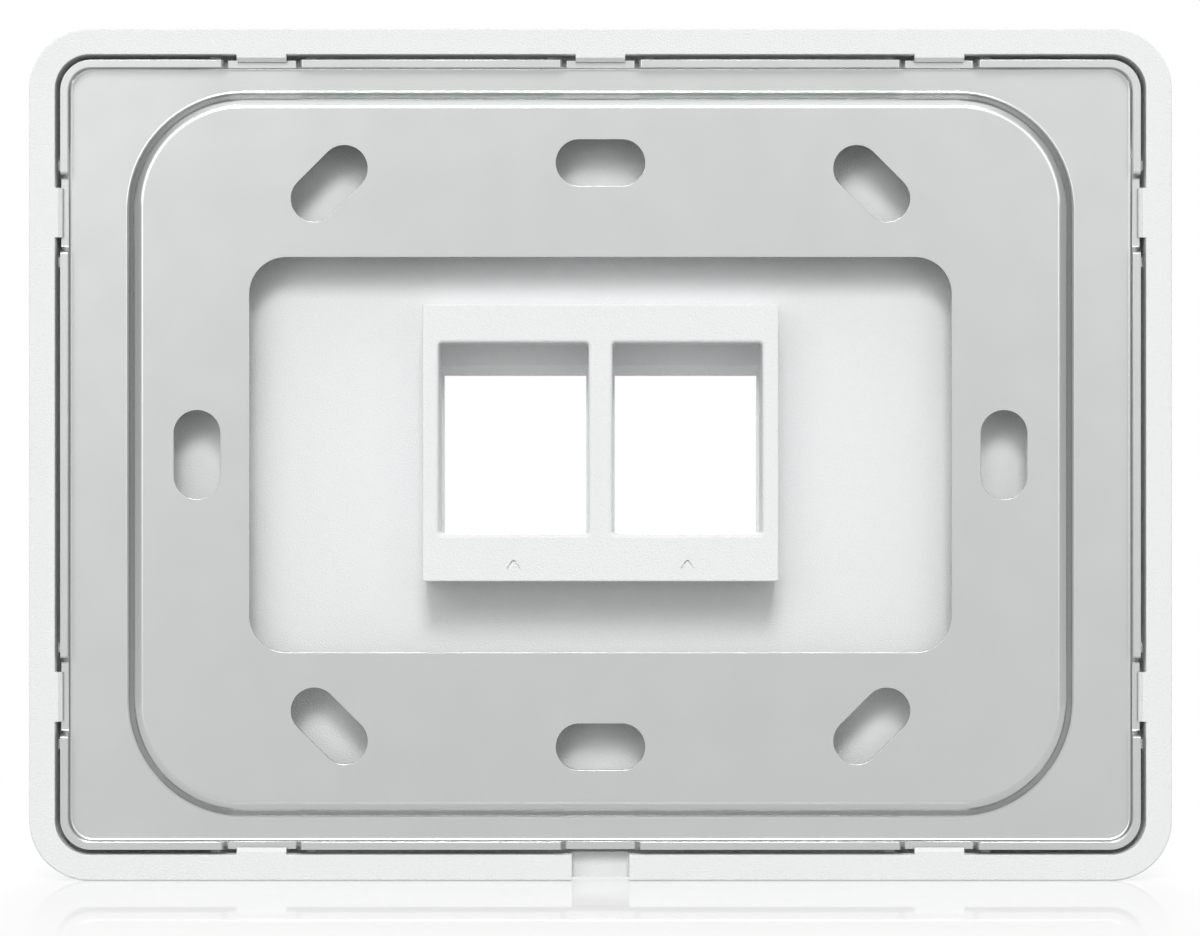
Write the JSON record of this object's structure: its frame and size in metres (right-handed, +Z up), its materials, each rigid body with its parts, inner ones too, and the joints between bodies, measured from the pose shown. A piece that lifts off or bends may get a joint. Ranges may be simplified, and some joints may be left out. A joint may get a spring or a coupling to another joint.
{
  "type": "two-port keystone wall faceplate",
  "caption": "Landscape keystone wall faceplate: a moulded cover with a ported rear block, snapped over a drawn steel mounting plate.",
  "frame": {"origin": "middle of the screw-slot pattern, on the wall plane (the flat rear face of the skirt and of the mounting plate's middle)", "axes": "+Z up as mounted, +X to the right seen from the room, +Y out of the back into the wall box"},
  "size_m": [0.118, 0.01, 0.088],
  "materials": {
    "white_moulding": "fine spark-eroded",
    "plated_sheet": "satin"
  },
  "bodies": {
    "root": {"faceplate": "white_moulding", "mounting_plate": "plated_sheet"}
  },
  "joints": []
}
